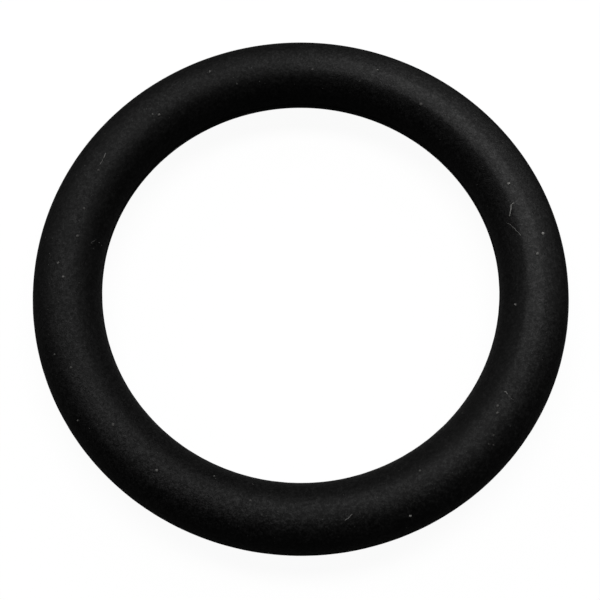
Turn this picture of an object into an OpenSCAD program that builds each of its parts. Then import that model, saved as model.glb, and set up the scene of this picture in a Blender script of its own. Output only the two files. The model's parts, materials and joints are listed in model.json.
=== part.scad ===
// Rubber O-ring: one compression-moulded ring of round section.
// The two mould halves close on the plane z = 0, where the trimmed flash leaves
// a low, flat-topped line round the inside and the outside of the ring.

/* [Ring] */
// Inside diameter, across the rubber beside the mould line
inside_d = 31.12; // [10:0.01:150]
// Diameter of the round section
section_d = 5.33; // [1.6:0.01:8]

/* [Mould line] */
// How far the trimmed flash stands out of the round section
flash_h = 0.06; // [0.02:0.01:0.12]
// Width of the flat top that trimming leaves on the flash
flash_w = 0.12; // [0.04:0.01:0.2]
// Angle of each flank of the flash, measured from the mould plane
flank_angle = 40; // [10:5:45]

/* [Smoothness] */
// Facets round the ring
ring_facets = 120; // [48:4:256]
// Facets round the section
section_facets = 48; // [24:4:128]

/* [Hidden] */
section_r = section_d / 2;
// Radius of the circle that the middle of the section follows
pitch_r = inside_d / 2 + section_r;
// Flat top of each flash line, measured from the middle of the section
tip_x = section_r + flash_h;
tip_half = flash_w / 2;
// Root of each flash line, well inside the round section
root_x = section_r / 2;
root_half = tip_half + (tip_x - root_x) * tan(flank_angle);
rubber_colour = [0.10, 0.10, 0.10];

// Section of the ring: the round cord, and one bar across it whose ends are the flash lines
module ring_section() {
    circle(r = section_r, $fn = section_facets);
    polygon([
        [-tip_x, -tip_half],
        [-root_x, -root_half],
        [root_x, -root_half],
        [tip_x, -tip_half],
        [tip_x, tip_half],
        [root_x, root_half],
        [-root_x, root_half],
        [-tip_x, tip_half],
    ]);
}

// The whole ring, lying flat about its own centre
module o_ring() {
    color(rubber_colour)
        rotate_extrude($fn = ring_facets)
            translate([pitch_r, 0]) ring_section();
}

o_ring();
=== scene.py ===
import json
import math

import bpy
from mathutils import Matrix, Vector


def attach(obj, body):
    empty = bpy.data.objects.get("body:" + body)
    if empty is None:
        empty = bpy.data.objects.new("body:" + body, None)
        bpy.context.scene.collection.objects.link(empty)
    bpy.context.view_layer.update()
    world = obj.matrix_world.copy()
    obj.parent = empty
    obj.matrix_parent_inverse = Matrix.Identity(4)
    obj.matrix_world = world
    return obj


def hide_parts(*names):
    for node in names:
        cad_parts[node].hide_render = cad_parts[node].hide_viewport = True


# A black rubber O-ring with the dust it has picked up, dressed over its CAD frame.
# Every length is in metres, in the frame's own axes: the ring lies flat about the origin.
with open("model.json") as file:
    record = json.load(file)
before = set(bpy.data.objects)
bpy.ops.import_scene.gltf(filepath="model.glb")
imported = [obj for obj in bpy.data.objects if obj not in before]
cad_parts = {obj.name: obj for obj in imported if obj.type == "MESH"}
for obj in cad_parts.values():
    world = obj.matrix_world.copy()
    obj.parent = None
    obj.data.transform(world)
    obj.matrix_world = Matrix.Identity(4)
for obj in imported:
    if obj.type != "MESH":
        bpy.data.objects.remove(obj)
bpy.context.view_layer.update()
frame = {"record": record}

# Camera
# It looks down at the ring from the front, 18 degrees off the ring's own axis, from as near as
# a close-up taken by hand, so the near side of the ring looks a little thicker than the far side.
view_tilt = math.radians(18.17)
view_swing = math.radians(-0.73)
view_distance = 0.1087
view_aim = Vector((-0.00007, -0.00115, 0.0))
picture_px = 600
focal_px = 1389.2

eye = view_distance * Vector((
    math.sin(view_tilt) * math.sin(view_swing),
    -math.sin(view_tilt) * math.cos(view_swing),
    math.cos(view_tilt),
))
forward = (view_aim - eye).normalized()
rightward = forward.cross(Vector((0, 1, 0))).normalized()
upward = rightward.cross(forward)
camera = bpy.data.objects.new("camera", bpy.data.cameras.new("camera"))
camera.data.lens = focal_px / picture_px * camera.data.sensor_width
camera.data.clip_start = view_distance / 10
turn = Matrix((rightward, upward, -forward)).transposed()
camera.matrix_world = Matrix.Translation(eye) @ turn.to_4x4()
bpy.context.scene.collection.objects.link(camera)
bpy.context.scene.camera = camera

# The ring
# One piece of black nitrile rubber, pressed in a two-part mould. The halves meet on the plane
# z = 0, and the thin web of flash squeezed out there is trimmed off, which leaves a low,
# slightly ragged line round the inside and the outside of a plain round section.
mounts = {mount["name"]: mount for mount in frame["record"]["mounts"]}
inner_tip_r = mounts["inside_diameter"]["dims"]["r_mm"] / 1000
outer_tip_r = mounts["outside_diameter"]["dims"]["r_mm"] / 1000
flash_w = mounts["inside_diameter"]["dims"]["length_mm"] / 1000
pitch_r = (inner_tip_r + outer_tip_r) / 2
section_r = mounts["upper_sealing_face"]["pos_m"][2]
flash_h = outer_tip_r - pitch_r - section_r
flank_angle = math.radians(40)
ring_steps = 640
section_steps = 120
clean_rubber = (0.0004, 0.0004, 0.0004)
dull_rubber = (0.0122, 0.0122, 0.0122)
# The powder grey is partly dust and partly a painted highlight on the crest
powder_and_highlight_grey = (0.060, 0.060, 0.060)


class Value:
    """One socket of a node. Sums, products and powers of it add Math nodes to its tree."""

    def __init__(self, nodes, socket):
        self.nodes = nodes
        self.socket = socket

    def __add__(self, other):
        return self.nodes.math("ADD", self, other)

    def __radd__(self, other):
        return self.nodes.math("ADD", other, self)

    def __sub__(self, other):
        return self.nodes.math("SUBTRACT", self, other)

    def __rsub__(self, other):
        return self.nodes.math("SUBTRACT", other, self)

    def __mul__(self, other):
        return self.nodes.math("MULTIPLY", self, other)

    def __rmul__(self, other):
        return self.nodes.math("MULTIPLY", other, self)

    def __truediv__(self, other):
        return self.nodes.math("DIVIDE", self, other)

    def __rtruediv__(self, other):
        return self.nodes.math("DIVIDE", other, self)

    def __pow__(self, other):
        return self.nodes.math("POWER", self, other)

    def __rpow__(self, other):
        return self.nodes.math("POWER", other, self)


class Nodes:
    """Adds nodes to one tree, each with its settings first and then its sockets."""

    def __init__(self, tree):
        self.tree = tree

    def add(self, kind, settings=None, inputs=None, output=0):
        """A node of any kind. Its inputs are numbers or Values, and one of its outputs comes back."""
        node = self.tree.nodes.new(kind)
        for name, setting in (settings or {}).items():
            setattr(node, name, setting)
        for name, value in (inputs or {}).items():
            if isinstance(value, Value):
                self.tree.links.new(value.socket, node.inputs[name])
            else:
                node.inputs[name].default_value = value
        return Value(self, node.outputs[output]) if node.outputs else node

    def math(self, operation, *values):
        return self.add("ShaderNodeMath", {"operation": operation}, dict(enumerate(values)))

    def noise(self, place, scale, detail=2.0, roughness=0.5, **inputs):
        """Smooth noise from 0 to 1 over a place, with that many lumps to the metre."""
        settings = {"noise_dimensions": "4D"} if "W" in inputs else {}
        sockets = {"Vector": place, "Scale": scale, "Detail": detail, "Roughness": roughness, **inputs}
        return self.add("ShaderNodeTexNoise", settings, sockets)

    def step(self, value, low, high):
        """A smooth step: 0 below low, 1 above high."""
        sockets = {"Value": value, "From Min": low, "From Max": high}
        return self.add("ShaderNodeMapRange", {"interpolation_type": "SMOOTHSTEP"}, sockets)

    def split(self, vector):
        """The X, Y and Z of a vector."""
        first = self.add("ShaderNodeSeparateXYZ", {}, {"Vector": vector})
        return [Value(self, out) for out in first.socket.node.outputs]

    def join(self, x, y, z):
        return self.add("ShaderNodeCombineXYZ", {}, {"X": x, "Y": y, "Z": z})

    def mix(self, factor, start, end):
        """A colour between two colours, each a value or written out."""
        colours = [c if isinstance(c, Value) else (*c, 1) for c in (start, end)]
        sockets = {"Factor": factor, "A": colours[0], "B": colours[1]}
        return self.add("ShaderNodeMix", {"data_type": "RGBA"}, sockets, output="Result")


class GeometryNodes(Nodes):
    """A tree that makes a mesh, with named inputs for its sizes."""

    KINDS = {float: "NodeSocketFloat", int: "NodeSocketInt", bpy.types.Material: "NodeSocketMaterial"}

    def __init__(self, name, sizes):
        super().__init__(bpy.data.node_groups.new(name, "GeometryNodeTree"))
        interface = self.tree.interface
        interface.new_socket("Geometry", in_out="INPUT", socket_type="NodeSocketGeometry")
        interface.new_socket("Geometry", in_out="OUTPUT", socket_type="NodeSocketGeometry")
        for size, value in sizes.items():
            interface.new_socket(size, in_out="INPUT", socket_type=self.KINDS[type(value)])
        group = self.tree.nodes.new("NodeGroupInput")
        self.size = {out.name: Value(self, out) for out in group.outputs if out.name}
        self.values = sizes

    def random(self, low, high, seed):
        """A number for each point, anywhere between two bounds."""
        sockets = {"Min": low, "Max": high, "Seed": seed}
        return self.add("FunctionNodeRandomValue", {"data_type": "FLOAT"}, sockets, output="Value")

    def on_ring(self, clock, angle, r):
        """The place r from the middle of the section: clock runs round the ring from +Y towards +X,
        and angle runs round the section from the outside over the top."""
        reach = self.size["Pitch Radius"] + r * self.math("COSINE", angle)
        sin_c, cos_c = self.math("SINE", clock), self.math("COSINE", clock)
        return self.join(reach * sin_c, reach * cos_c, r * self.math("SINE", angle))

    def finish(self, geometry):
        """Ends the tree: loose instances are made real and take the material."""
        real = self.add("GeometryNodeRealizeInstances", {}, {"Geometry": geometry})
        inputs = {"Geometry": real, "Material": self.size["Material"]}
        made = self.add("GeometryNodeSetMaterial", {}, inputs)
        self.add("NodeGroupOutput", {}, {"Geometry": made})

    def make(self, name, start=None):
        """A plain mesh object of what the tree makes, from an empty mesh or a start mesh."""
        piece = bpy.data.objects.new(name, start or bpy.data.meshes.new(name))
        bpy.context.scene.collection.objects.link(piece)
        modifier = piece.modifiers.new("form", "NODES")
        modifier.node_group = self.tree
        for item in self.tree.interface.items_tree:
            if item.in_out == "INPUT" and item.name in self.values:
                modifier[item.identifier] = self.values[item.name]
        depsgraph = bpy.context.evaluated_depsgraph_get()
        mesh = bpy.data.meshes.new_from_object(piece.evaluated_get(depsgraph))
        piece.modifiers.clear()
        piece.data = mesh
        mesh.name = name
        return piece


def rubber_material():
    """Matt black rubber: a fine moulded grain, and over it pale powder that is partly the dust
    that handling leaves and partly a painted highlight along the crest.
    """
    material = bpy.data.materials.new("black_rubber")
    material.use_nodes = True
    nodes = Nodes(material.node_tree)
    shader = material.node_tree.nodes["Principled BSDF"]
    place = nodes.add("ShaderNodeTexCoord", output="Object")
    x, y, z = nodes.split(place)
    radius = nodes.math("SQRT", x * x + y * y)

    # The moulded grain, from blotches most of a millimetre wide down to a tenth of one, and clouds
    # a few millimetres wide in how polished it is
    blotch = nodes.noise(place, 1300.0, 2.0, 0.55)
    mottle = nodes.noise(place, 3900.0, 3.0, 0.8)
    grain = nodes.noise(place, 9000.0, 2.0, 0.6)
    polish = nodes.noise(place, 3400.0, 3.0, 0.75, W=1.0)
    cloud = nodes.noise(place, 260.0, 3.0, 0.55)
    # Handling leaves faint rubs that run round the ring
    rubs = nodes.noise(nodes.join(x * 90, y * 90, radius * 2600), 1.0, 2.0, W=z * 2600)
    rub = nodes.step(rubs, 0.58, 0.72) * nodes.step(cloud, 0.4, 0.7)
    # Pale powder is painted in grains along the crest, partly dust and partly a painted highlight.
    # The right side of the ring, and a little of the near side, gets more: it heaps along a ridge just
    # inside the crest, where the highlight peaks, and spreads down the outside, again partly dust and
    # partly painted light
    crest = nodes.step(z, 0.86 * section_r, section_r)
    ridge = nodes.step(z - 0.10 * (radius - pitch_r), 0.957 * section_r, 0.993 * section_r)
    outside = nodes.step(0.96 * z + 0.26 * (radius - pitch_r), 0.74 * section_r, 0.98 * section_r)
    right_side = nodes.step((0.82 * x + 0.57 * y) / radius, 0.4, 1.0)
    near_side = nodes.step((0.6 * x - 0.8 * y) / radius, 0.4, 1.0)
    dust_and_highlight = right_side + 0.15 * near_side
    lumps = mottle + 0.65 * grain + 0.22 * blotch
    grains = nodes.step(lumps, 0.82, 1.25)
    thin = 0.27 * crest * (0.1 + 0.9 * grains)
    thick = dust_and_highlight * (0.30 * outside + 0.46 * ridge) * (0.38 + 0.62 * grains)
    dull = nodes.step(lumps + 0.10 * rub, 0.79, 1.33)
    # Painted here: pale powder that is partly dust and partly a painted highlight on the crest and right
    # side
    tone = nodes.mix(thin + thick, nodes.mix(dull, clean_rubber, dull_rubber), powder_and_highlight_grey)

    fine = 0.90 * (polish - 0.5) + 0.25 * (grain - 0.5)
    wide = 0.10 * (cloud - 0.5) + 0.08 * (blotch - 0.5)
    roughness = 0.56 + wide + fine - 0.04 * rub
    height = 0.000050 * mottle + 0.000018 * grain
    relief = nodes.add("ShaderNodeBump", {}, {"Strength": 1.0, "Distance": 1.0, "Height": height})
    for socket, value in (("Base Color", tone), ("Roughness", roughness), ("Normal", relief)):
        nodes.tree.links.new(value.socket, shader.inputs[socket])
    shader.inputs["Specular IOR Level"].default_value = 0.13
    return material


def ring_form():
    """Sweeps the section round the ring: a round cord with a flash line inside and outside."""
    nodes = GeometryNodes("ring_form", {
        "Pitch Radius": pitch_r,
        "Section Radius": section_r,
        "Flash Height": flash_h,
        "Flash Top": flash_w,
        "Flank Run": flash_h * math.tan(flank_angle),
        "Unevenness": 0.000012,
        "Raggedness": 0.45,
        "Ring Steps": ring_steps,
        "Section Steps": section_steps,
        "Material": rubber_material(),
    })
    size = nodes.size
    # A flat sheet whose X becomes the way round the ring and whose Y the way round the section
    sheet = nodes.add("GeometryNodeMeshGrid", {}, {
        "Size X": 1.0,
        "Size Y": 1.0,
        "Vertices X": size["Ring Steps"] + 1,
        "Vertices Y": size["Section Steps"] + 1,
    })
    along, across, _ = nodes.split(nodes.add("GeometryNodeInputPosition"))
    clock = (along + 0.5) * (2 * math.pi)
    even = (across + 0.5) * (2 * math.pi)
    # Rows crowd together at the flash lines, where the section has its small detail
    angle = even - 0.42 * nodes.math("SINE", 2 * even)
    side = nodes.math("SIGN", nodes.math("COSINE", angle))
    round_place = nodes.join(nodes.math("SINE", clock), nodes.math("COSINE", clock), side)
    ragged = nodes.noise(round_place, 22.0, 3.0, 0.6)
    off_plane = nodes.math("ABSOLUTE", size["Section Radius"] * nodes.math("SINE", angle))
    top = size["Flash Top"] / 2
    flash = 1 - nodes.step(off_plane, top, top + size["Flank Run"])
    stand = size["Flash Height"] * flash * (1 - size["Raggedness"] * ragged)
    plain_place = nodes.on_ring(clock, angle, size["Section Radius"])
    wave = size["Unevenness"] * (nodes.noise(plain_place, 190.0, 2.0) - 1)
    swept = nodes.add("GeometryNodeSetPosition", {}, {
        "Geometry": sheet,
        "Position": nodes.on_ring(clock, angle, size["Section Radius"] + stand + wave),
    })
    closed = nodes.add("GeometryNodeMergeByDistance", {}, {"Geometry": swept, "Distance": 0.000001})
    # The clock runs against the sheet's own turn, so its faces come out inwards
    outwards = nodes.add("GeometryNodeFlipFaces", {}, {"Mesh": closed})
    smooth = nodes.add("GeometryNodeSetShadeSmooth", {}, {"Geometry": outwards})
    nodes.finish(smooth)
    return nodes


ring = ring_form().make("moulded_ring")
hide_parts("o_ring")
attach(ring, "root")

# Dust specks
# Flakes and crumbs of pale household dust, each a fraction of a millimetre, that the slightly
# tacky rubber has picked up. The larger ones lie where they can be seen from the front, among
# a scatter of finer ones that settled anywhere on the upper half.
hundredths = 100000  # of a millimetre in a metre
palest_dust = (0.36, 0.354, 0.34)
# Each is its clock angle, its angle round the section, its width in hundredths of a millimetre,
# and how pale it is, from 0 to 1
specks = (
    (156.5, 49.8, 22, 0.55), (79.5, 73, 25, 0.7), (97.5, 129.5, 23, 0.3), (65, 97, 27, 0.35),
    (215, 86, 24, 0), (298.6, 93.5, 20, 0), (337, 80, 27, 0.1), (84.5, 89.5, 29, 0.2),
    (280.5, 105, 25, 0), (247, 80, 22, 0), (236, 47.5, 18, 0), (320, 105, 25, 0.15),
    (33.5, 110, 30, 0.05), (125, 99, 22, 0.1), (126.5, 93, 22, 0.1), (273, 81.5, 21, 0),
    (230, 92, 26, 0), (202.5, 126, 14, 0), (19.5, 86, 22, 0), (288, 101.5, 23, 0),
    (150, 108, 18, 0), (192, 102, 21, 0), (251.5, 60, 17, 0.1), (3, 106, 16, 0),
    (342.5, 116, 13, 0), (16, 114, 18, 0), (269.5, 91.5, 20, 0.1), (318.8, 97.5, 17, 0),
    (131.2, 76, 17, 0), (133.4, 72.8, 16, 0), (132.8, 66, 14, 0), (280.9, 146, 11, 0),
    (278.6, 137, 10, 0), (280.7, 154, 11, 0),
)


def dust_material(name, dark, light):
    """Dead matt dust whose grey varies from one crumb to the next. Where the mesh says how pale
    it is, it turns a light grey."""
    material = bpy.data.materials.new(name)
    material.use_nodes = True
    nodes = Nodes(material.node_tree)
    shader = material.node_tree.nodes["Principled BSDF"]
    place = nodes.add("ShaderNodeTexCoord", output="Object")
    patch = nodes.noise(place, 700.0, 2.0)
    fine = nodes.noise(place, 16000.0, 3.0, 0.6)
    pale = nodes.add("ShaderNodeAttribute", {"attribute_name": "paleness"}, output="Fac")
    grey = nodes.mix(nodes.step(patch + 0.5 * fine, 0.5, 1.0), dark, light)
    tone = nodes.mix(pale, grey, palest_dust)
    relief = nodes.add("ShaderNodeBump", {}, {"Strength": 0.6, "Distance": 0.00001, "Height": fine})
    nodes.tree.links.new(tone.socket, shader.inputs["Base Color"])
    nodes.tree.links.new(relief.socket, shader.inputs["Normal"])
    shader.inputs["Roughness"].default_value = 0.9
    shader.inputs["Specular IOR Level"].default_value = 0.2
    return material


def speck_form():
    """Seats a flattened crumb on the ring for each vertex, whose X, Y and Z are its two angles
    and its width, and for each of the finer ones."""
    nodes = GeometryNodes("speck_form", {
        "Pitch Radius": pitch_r,
        "Section Radius": section_r,
        "Fine Count": 420,
        "Fine Width": 0.000080,
        "Lumpiness": 0.00005,
        "Seed": 7,
        "Material": dust_material("pale_dust", (0.04, 0.039, 0.037), (0.13, 0.128, 0.123)),
    })
    size = nodes.size
    seed = size["Seed"]
    chosen = nodes.add("GeometryNodeMeshToPoints", {}, {"Mesh": size["Geometry"]})
    spread = nodes.random(-1.0, 1.0, seed) + nodes.random(-1.0, 1.0, seed + 1)
    width = size["Fine Width"] * (0.25 + 0.75 * nodes.random(0.0, 1.0, seed + 2) ** 3)
    fine = nodes.add("GeometryNodePoints", {}, {
        "Count": size["Fine Count"],
        "Position": nodes.join(nodes.random(0.0, 2 * math.pi, seed + 3), math.pi / 2 + 0.6 * spread, width),
    })
    points = nodes.add("GeometryNodeJoinGeometry")
    for some in (chosen, fine):
        nodes.tree.links.new(some.socket, points.socket.node.inputs[0])

    crumb = nodes.add("GeometryNodeMeshUVSphere", {}, {"Segments": 8, "Rings": 6, "Radius": 0.5})
    clock, angle, width = nodes.split(nodes.add("GeometryNodeInputPosition"))
    outward = nodes.join(
        nodes.math("COSINE", angle) * nodes.math("SINE", clock),
        nodes.math("COSINE", angle) * nodes.math("COSINE", clock),
        nodes.math("SINE", angle),
    )
    turned = nodes.add("FunctionNodeAlignRotationToVector", {"axis": "Z"}, {
        "Rotation": nodes.join(0.0, 0.0, nodes.random(0.0, 2 * math.pi, seed + 4)),
        "Vector": outward,
    })
    lying = nodes.add("GeometryNodeInstanceOnPoints", {}, {
        "Points": points,
        "Instance": crumb,
        "Rotation": turned,
        "Scale": nodes.join(
            width,
            width * nodes.random(0.6, 0.95, seed + 5),
            width * nodes.random(0.35, 0.6, seed + 6),
        ),
    })
    seated = nodes.add("GeometryNodeSetPosition", {}, {
        "Geometry": lying,
        "Position": nodes.on_ring(clock, angle, size["Section Radius"] + 0.1 * width),
    })
    real = nodes.add("GeometryNodeRealizeInstances", {}, {"Geometry": seated})
    sockets = {"Vector": nodes.add("GeometryNodeInputPosition"), "Scale": 11000.0, "Detail": 1.0}
    push_x, push_y, push_z = nodes.split(nodes.add("ShaderNodeTexNoise", {}, sockets, output="Color"))
    lumpy = nodes.add("GeometryNodeSetPosition", {}, {
        "Geometry": real,
        "Offset": nodes.join(
            size["Lumpiness"] * (push_x - 0.5),
            size["Lumpiness"] * (push_y - 0.5),
            size["Lumpiness"] * (push_z - 0.5),
        ),
    })
    nodes.finish(lumpy)
    return nodes


speck_places = bpy.data.meshes.new("speck_places")
speck_places.from_pydata([
    (math.radians(clock), math.radians(angle), width / hundredths) for clock, angle, width, _ in specks
], [], [])
paleness = speck_places.attributes.new("paleness", "FLOAT", "POINT")
paleness.data.foreach_set("value", [pale for *_, pale in specks])
dust = speck_form().make("dust_specks", speck_places)
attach(dust, "root")

# Lint fibres
# Short ends of textile lint, up to a tenth of a millimetre thick, that cling to the rubber or are
# smeared on it. Each is its thickness in hundredths of a millimetre, then the clock angles and
# section angles of its corners, and it follows the surface between them.
fibres = (
    (8.8, (70, 104), (71, 111), (73, 118.5)),
    (3.6, (74.5, 126.5), (75.5, 121), (77.5, 115), (79, 110)),
    (5.5, (121.1, 101.5), (121.3, 95.5)),
    (1.4, (121.4, 93), (121.7, 87.5), (121.7, 82)),
    (3.5, (170.2, 73.5), (168.4, 81)),
    (5.5, (303.4, 86.8), (302.0, 89.3)),
    (2.4, (301.8, 89.5), (300.2, 90.5)),
    (2, (279.7, 130), (281.3, 137.5)),
)


def fibre_form():
    """Sweeps a thin round thread along each line of vertices, whose X, Y and Z are its two angles
    and the thread's radius."""
    nodes = GeometryNodes("fibre_form", {
        "Pitch Radius": pitch_r,
        "Section Radius": section_r,
        "Lift": 0.000012,
        "Bends": 0.00006,
        "Step": 0.006,
        "Material": dust_material("pale_lint", (0.13, 0.128, 0.122), (0.23, 0.226, 0.218)),
    })
    size = nodes.size
    line = nodes.add("GeometryNodeMeshToCurve", {}, {"Mesh": size["Geometry"]})
    smooth = nodes.add("GeometryNodeCurveSplineType", {"spline_type": "CATMULL_ROM"}, {"Curve": line})
    even = nodes.add("GeometryNodeResampleCurve", {"mode": "LENGTH"}, {
        "Curve": smooth,
        "Length": size["Step"],
    })
    clock, angle, thread_r = nodes.split(nodes.add("GeometryNodeInputPosition"))
    thick = nodes.add("GeometryNodeSetCurveRadius", {}, {"Curve": even, "Radius": thread_r})
    along = nodes.join(clock, angle, 0.0)
    sway = (nodes.noise(along, 14.0, 2.0) - 0.5) * size["Bends"] / size["Section Radius"]
    rise = size["Lift"] * (0.6 + nodes.noise(along, 30.0, 1.0))
    laid = nodes.add("GeometryNodeSetPosition", {}, {
        "Geometry": thick,
        "Position": nodes.on_ring(clock + sway, angle, size["Section Radius"] + rise),
    })
    round_end = nodes.add("GeometryNodeCurvePrimitiveCircle", {}, {"Resolution": 6, "Radius": 1.0})
    thread = nodes.add("GeometryNodeCurveToMesh", {}, {
        "Curve": laid,
        "Profile Curve": round_end,
        "Scale": nodes.add("GeometryNodeInputRadius"),
        "Fill Caps": True,
    })
    nodes.finish(nodes.add("GeometryNodeSetShadeSmooth", {}, {"Geometry": thread}))
    return nodes


corners, lines = [], []
for thickness, *turns in fibres:
    thread_r = thickness / hundredths / 2
    lines += [(len(corners) + k, len(corners) + k + 1) for k in range(len(turns) - 1)]
    corners += [(math.radians(clock), math.radians(angle), thread_r) for clock, angle in turns]
fibre_lines = bpy.data.meshes.new("fibre_lines")
fibre_lines.from_pydata(corners, lines, [])
lint = fibre_form().make("lint_fibres", fibre_lines)
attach(lint, "root")

# Table and light
# A plain pale table carries the ring at its lowest point. A long soft lamp hangs over the ring, a
# little to the far side, and three weaker ones stand behind it, at the left, the right and the
# middle, so the crest is lit and the flanks that face the camera stay in the dark.
table_half = 3.0
table_grey = (0.08, 0.08, 0.08, 1)
full_white = (1, 1, 1, 1)
gloss_share = 0.03
more_gloss_inside = 0.10
room_glow = 0.03

bpy.ops.mesh.primitive_plane_add(size=2 * table_half, location=(0, 0, -section_r))
table = bpy.context.object
table.name = "table"
table_material = bpy.data.materials.new("pale_table")
table_material.use_nodes = True
nodes = Nodes(table_material.node_tree)
nodes.tree.nodes.clear()
camera_ray, glossy_ray, through_ray = (
    nodes.add("ShaderNodeLightPath", output=f"Is {ray} Ray") for ray in ("Camera", "Glossy", "Transmission")
)
x, y, _ = nodes.split(nodes.add("ShaderNodeTexCoord", output="Object"))
reach = nodes.math("SQRT", x * x + y * y)
# At full white the matt rubber would turn pale at its rims, so gloss sees the table dimmed. Within
# the ring it is dimmed less, a painted pool of light that makes the inside wall shine, cut off by a
# painted shadow of the far side
inside = 1 - nodes.step(reach, pitch_r - section_r, pitch_r + section_r)
clear_of_painted_shadow = 1 - nodes.step(y, 0.0, 0.012)
seen = camera_ray + through_ray + (gloss_share + more_gloss_inside * inside * clear_of_painted_shadow) * glossy_ray
brightness = seen * (0.95 + 0.05 * nodes.step(reach, 0.04, 0.15))
paint = nodes.add("ShaderNodeBsdfDiffuse", {}, {"Color": table_grey})
glow = nodes.add("ShaderNodeEmission", {}, {"Color": full_white, "Strength": brightness})
both = nodes.add("ShaderNodeAddShader", {}, {0: paint, 1: glow})
nodes.add("ShaderNodeOutputMaterial", {}, {"Surface": both})
table.data.materials.append(table_material)


def soft_lamp(name, place, width, height, watts):
    """An oblong lamp turned to the ring."""
    lamp = bpy.data.objects.new(name, bpy.data.lights.new(name, "AREA"))
    lamp.data.shape = "RECTANGLE"
    lamp.data.size = width
    lamp.data.size_y = height
    lamp.data.energy = watts
    lamp.location = place
    lamp.rotation_mode = "QUATERNION"
    lamp.rotation_quaternion = (-Vector(place)).to_track_quat("-Z", "Y")
    bpy.context.scene.collection.objects.link(lamp)


soft_lamp("lamp_over", (0.0, 0.19, 0.45), 0.5, 0.15, 1.65)
soft_lamp("lamp_left", (-0.58, 0.335, 0.30), 0.25, 0.25, 0.62)
soft_lamp("lamp_right", (0.44, 0.38, 0.34), 0.25, 0.25, 0.50)
soft_lamp("lamp_far", (-0.16, 0.63, 0.24), 0.40, 0.25, 0.26)

world = bpy.data.worlds.new("room")
bpy.context.scene.world = world
world.use_nodes = True
nodes = Nodes(world.node_tree)
nodes.tree.nodes.clear()
camera_ray = nodes.add("ShaderNodeLightPath", output="Is Camera Ray")
strength = room_glow + (1 - room_glow) * camera_ray
room = nodes.add("ShaderNodeBackground", {}, {"Color": full_white, "Strength": strength})
nodes.add("ShaderNodeOutputWorld", {}, {"Surface": room})

bpy.context.scene.view_settings.view_transform = "Standard"
